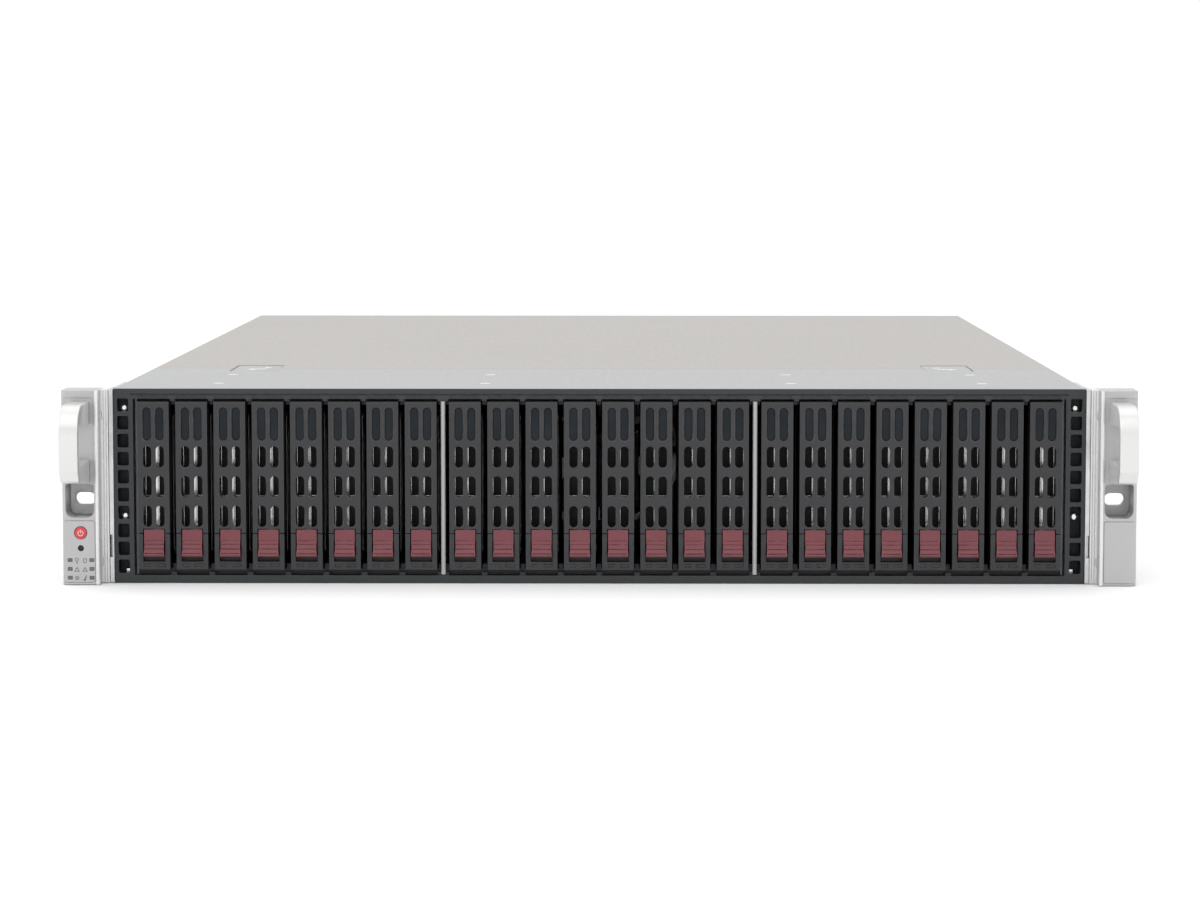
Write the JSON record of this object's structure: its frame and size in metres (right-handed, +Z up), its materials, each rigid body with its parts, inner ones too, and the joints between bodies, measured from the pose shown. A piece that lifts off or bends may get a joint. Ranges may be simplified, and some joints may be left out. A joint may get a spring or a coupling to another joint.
{
  "type": "disk shelf enclosure",
  "caption": "Rack disk shelf with upright hot-swap carriers behind slotted levers, rack ears with pull handles, a lift-off cover and rear power supplies.",
  "frame": {"origin": "on the underside, midway between the side walls, in the plane where the ears meet the rack posts", "axes": "+X to the right seen from the front, +Y towards the rear, +Z up"},
  "size_m": [0.4826, 0.6954, 0.088],
  "materials": {
    "zinc_steel": "bare zinc-coated sheet, faint spangle",
    "cover_steel": "bare zinc-coated sheet",
    "slate_plastic": "satin moulded plastic",
    "carrier_mix": "dark moulded front on an aluminium drive",
    "burgundy_plastic": "satin moulded plastic",
    "silver_ear": "satin silver",
    "ear_plate": "matt silver grey film",
    "screw_steel": "zinc plated",
    "circuit_board": "green solder mask",
    "fan_plastic": "black moulded plastic",
    "psu_metal": "plated casing",
    "port_metal": "nickel plated shield",
    "red_button": "translucent red",
    "grey_button": "satin"
  },
  "bodies": {
    "chassis": {"base_tray": "zinc_steel", "rear_panel": "zinc_steel", "front_cover": "zinc_steel", "bay_frame": "slate_plastic", "frame_teeth": "slate_plastic", "drive_guides": "slate_plastic", "cage_plates": "zinc_steel", "backplane": "circuit_board", "fan_wall": "zinc_steel", "fan_housings": "fan_plastic", "psu_cage": "zinc_steel", "power_board": "circuit_board", "control_board": "circuit_board", "rear_ports": "port_metal", "left_ear": "silver_ear", "right_ear": "silver_ear", "ear_plates": "ear_plate", "cover_screws": "screw_steel"},
    "carrier_01": {"carrier_01": "carrier_mix"},
    "carrier_02": {"carrier_02": "carrier_mix"},
    "carrier_03": {"carrier_03": "carrier_mix"},
    "carrier_04": {"carrier_04": "carrier_mix"},
    "carrier_05": {"carrier_05": "carrier_mix"},
    "carrier_06": {"carrier_06": "carrier_mix"},
    "carrier_07": {"carrier_07": "carrier_mix"},
    "carrier_08": {"carrier_08": "carrier_mix"},
    "carrier_09": {"carrier_09": "carrier_mix"},
    "carrier_10": {"carrier_10": "carrier_mix"},
    "carrier_11": {"carrier_11": "carrier_mix"},
    "carrier_12": {"carrier_12": "carrier_mix"},
    "carrier_13": {"carrier_13": "carrier_mix"},
    "carrier_14": {"carrier_14": "carrier_mix"},
    "carrier_15": {"carrier_15": "carrier_mix"},
    "carrier_16": {"carrier_16": "carrier_mix"},
    "carrier_17": {"carrier_17": "carrier_mix"},
    "carrier_18": {"carrier_18": "carrier_mix"},
    "carrier_19": {"carrier_19": "carrier_mix"},
    "carrier_20": {"carrier_20": "carrier_mix"},
    "carrier_21": {"carrier_21": "carrier_mix"},
    "carrier_22": {"carrier_22": "carrier_mix"},
    "carrier_23": {"carrier_23": "carrier_mix"},
    "carrier_24": {"carrier_24": "carrier_mix"},
    "lever_01": {"lever_01": "slate_plastic"},
    "button_01": {"button_01": "burgundy_plastic"},
    "lever_09": {"lever_09": "slate_plastic"},
    "button_09": {"button_09": "burgundy_plastic"},
    "lever_17": {"lever_17": "slate_plastic"},
    "button_17": {"button_17": "burgundy_plastic"},
    "rear_cover": {"rear_cover": "cover_steel"},
    "cover_latch_left": {"cover_latch_left": "zinc_steel"},
    "cover_latch_right": {"cover_latch_right": "zinc_steel"},
    "fan_rotor_1": {"fan_rotor_1": "fan_plastic"},
    "fan_rotor_2": {"fan_rotor_2": "fan_plastic"},
    "fan_rotor_3": {"fan_rotor_3": "fan_plastic"},
    "psu_lower": {"psu_lower": "psu_metal"},
    "psu_latch_lower": {"psu_latch_lower": "burgundy_plastic"},
    "psu_upper": {"psu_upper": "psu_metal"},
    "psu_latch_upper": {"psu_latch_upper": "burgundy_plastic"},
    "power_button": {"power_button": "red_button"},
    "reset_button": {"reset_button": "grey_button"}
  },
  "joints": [
    {"name": "carrier_01_slide", "type": "slide", "parent": "chassis", "child": "carrier_01", "axis": [0, -1, 0], "range_m": [0, 0.125]},
    {"name": "carrier_02_slide", "type": "slide", "parent": "chassis", "child": "carrier_02", "axis": [0, -1, 0], "range_m": [0, 0.125]},
    {"name": "carrier_03_slide", "type": "slide", "parent": "chassis", "child": "carrier_03", "axis": [0, -1, 0], "range_m": [0, 0.125]},
    {"name": "carrier_04_slide", "type": "slide", "parent": "chassis", "child": "carrier_04", "axis": [0, -1, 0], "range_m": [0, 0.125]},
    {"name": "carrier_05_slide", "type": "slide", "parent": "chassis", "child": "carrier_05", "axis": [0, -1, 0], "range_m": [0, 0.125]},
    {"name": "carrier_06_slide", "type": "slide", "parent": "chassis", "child": "carrier_06", "axis": [0, -1, 0], "range_m": [0, 0.125]},
    {"name": "carrier_07_slide", "type": "slide", "parent": "chassis", "child": "carrier_07", "axis": [0, -1, 0], "range_m": [0, 0.125]},
    {"name": "carrier_08_slide", "type": "slide", "parent": "chassis", "child": "carrier_08", "axis": [0, -1, 0], "range_m": [0, 0.125]},
    {"name": "carrier_09_slide", "type": "slide", "parent": "chassis", "child": "carrier_09", "axis": [0, -1, 0], "range_m": [0, 0.125]},
    {"name": "carrier_10_slide", "type": "slide", "parent": "chassis", "child": "carrier_10", "axis": [0, -1, 0], "range_m": [0, 0.125]},
    {"name": "carrier_11_slide", "type": "slide", "parent": "chassis", "child": "carrier_11", "axis": [0, -1, 0], "range_m": [0, 0.125]},
    {"name": "carrier_12_slide", "type": "slide", "parent": "chassis", "child": "carrier_12", "axis": [0, -1, 0], "range_m": [0, 0.125]},
    {"name": "carrier_13_slide", "type": "slide", "parent": "chassis", "child": "carrier_13", "axis": [0, -1, 0], "range_m": [0, 0.125]},
    {"name": "carrier_14_slide", "type": "slide", "parent": "chassis", "child": "carrier_14", "axis": [0, -1, 0], "range_m": [0, 0.125]},
    {"name": "carrier_15_slide", "type": "slide", "parent": "chassis", "child": "carrier_15", "axis": [0, -1, 0], "range_m": [0, 0.125]},
    {"name": "carrier_16_slide", "type": "slide", "parent": "chassis", "child": "carrier_16", "axis": [0, -1, 0], "range_m": [0, 0.125]},
    {"name": "carrier_17_slide", "type": "slide", "parent": "chassis", "child": "carrier_17", "axis": [0, -1, 0], "range_m": [0, 0.125]},
    {"name": "carrier_18_slide", "type": "slide", "parent": "chassis", "child": "carrier_18", "axis": [0, -1, 0], "range_m": [0, 0.125]},
    {"name": "carrier_19_slide", "type": "slide", "parent": "chassis", "child": "carrier_19", "axis": [0, -1, 0], "range_m": [0, 0.125]},
    {"name": "carrier_20_slide", "type": "slide", "parent": "chassis", "child": "carrier_20", "axis": [0, -1, 0], "range_m": [0, 0.125]},
    {"name": "carrier_21_slide", "type": "slide", "parent": "chassis", "child": "carrier_21", "axis": [0, -1, 0], "range_m": [0, 0.125]},
    {"name": "carrier_22_slide", "type": "slide", "parent": "chassis", "child": "carrier_22", "axis": [0, -1, 0], "range_m": [0, 0.125]},
    {"name": "carrier_23_slide", "type": "slide", "parent": "chassis", "child": "carrier_23", "axis": [0, -1, 0], "range_m": [0, 0.125]},
    {"name": "carrier_24_slide", "type": "slide", "parent": "chassis", "child": "carrier_24", "axis": [0, -1, 0], "range_m": [0, 0.125]},
    {"name": "lever_01_hinge", "type": "hinge", "parent": "carrier_01", "child": "lever_01", "pos_m": [-0.2005, -0.01, 0.0793], "axis": [-1, 0, 0], "range_deg": [0, 65]},
    {"name": "button_01_slide", "type": "slide", "parent": "carrier_01", "child": "button_01", "axis": [0, 0, -1], "range_m": [0, 0.002], "stiffness_N_per_m": 900},
    {"name": "lever_09_hinge", "type": "hinge", "parent": "carrier_09", "child": "lever_09", "pos_m": [-0.0602, -0.01, 0.0793], "axis": [-1, 0, 0], "range_deg": [0, 65]},
    {"name": "button_09_slide", "type": "slide", "parent": "carrier_09", "child": "button_09", "axis": [0, 0, -1], "range_m": [0, 0.002], "stiffness_N_per_m": 900},
    {"name": "lever_17_hinge", "type": "hinge", "parent": "carrier_17", "child": "lever_17", "pos_m": [0.0801, -0.01, 0.0793], "axis": [-1, 0, 0], "range_deg": [0, 65]},
    {"name": "button_17_slide", "type": "slide", "parent": "carrier_17", "child": "button_17", "axis": [0, 0, -1], "range_m": [0, 0.002], "stiffness_N_per_m": 900},
    {"name": "rear_cover_lift", "type": "slide", "parent": "chassis", "child": "rear_cover", "axis": [0, 0, 1], "range_m": [0, 0.12]},
    {"name": "cover_latch_left_press", "type": "slide", "parent": "chassis", "child": "cover_latch_left", "axis": [0, 0, -1], "range_m": [0, 0.0025], "stiffness_N_per_m": 1600},
    {"name": "cover_latch_right_press", "type": "slide", "parent": "chassis", "child": "cover_latch_right", "axis": [0, 0, -1], "range_m": [0, 0.0025], "stiffness_N_per_m": 1600},
    {"name": "fan_rotor_1_spin", "type": "hinge", "parent": "chassis", "child": "fan_rotor_1", "pos_m": [-0.135, 0.1812, 0.0424], "axis": [0, 1, 0], "continuous": true},
    {"name": "fan_rotor_2_spin", "type": "hinge", "parent": "chassis", "child": "fan_rotor_2", "pos_m": [0, 0.1812, 0.0424], "axis": [0, 1, 0], "continuous": true},
    {"name": "fan_rotor_3_spin", "type": "hinge", "parent": "chassis", "child": "fan_rotor_3", "pos_m": [0.135, 0.1812, 0.0424], "axis": [0, 1, 0], "continuous": true},
    {"name": "psu_lower_slide", "type": "slide", "parent": "chassis", "child": "psu_lower", "axis": [0, 1, 0], "range_m": [0, 0.22]},
    {"name": "psu_latch_lower_hinge", "type": "hinge", "parent": "psu_lower", "child": "psu_latch_lower", "pos_m": [0.1997, 0.6154, 0.0073], "axis": [0, 0, 1], "range_deg": [0, 12], "stiffness_Nm_per_rad": 0.25},
    {"name": "psu_upper_slide", "type": "slide", "parent": "chassis", "child": "psu_upper", "axis": [0, 1, 0], "range_m": [0, 0.22]},
    {"name": "psu_latch_upper_hinge", "type": "hinge", "parent": "psu_upper", "child": "psu_latch_upper", "pos_m": [0.1997, 0.6154, 0.04925], "axis": [0, 0, 1], "range_deg": [0, 12], "stiffness_Nm_per_rad": 0.25},
    {"name": "power_button_press", "type": "slide", "parent": "chassis", "child": "power_button", "axis": [0, 1, 0], "range_m": [0, 0.001], "stiffness_N_per_m": 1500},
    {"name": "reset_button_press", "type": "slide", "parent": "chassis", "child": "reset_button", "axis": [0, 1, 0], "range_m": [0, 0.0008], "stiffness_N_per_m": 1500}
  ]
}
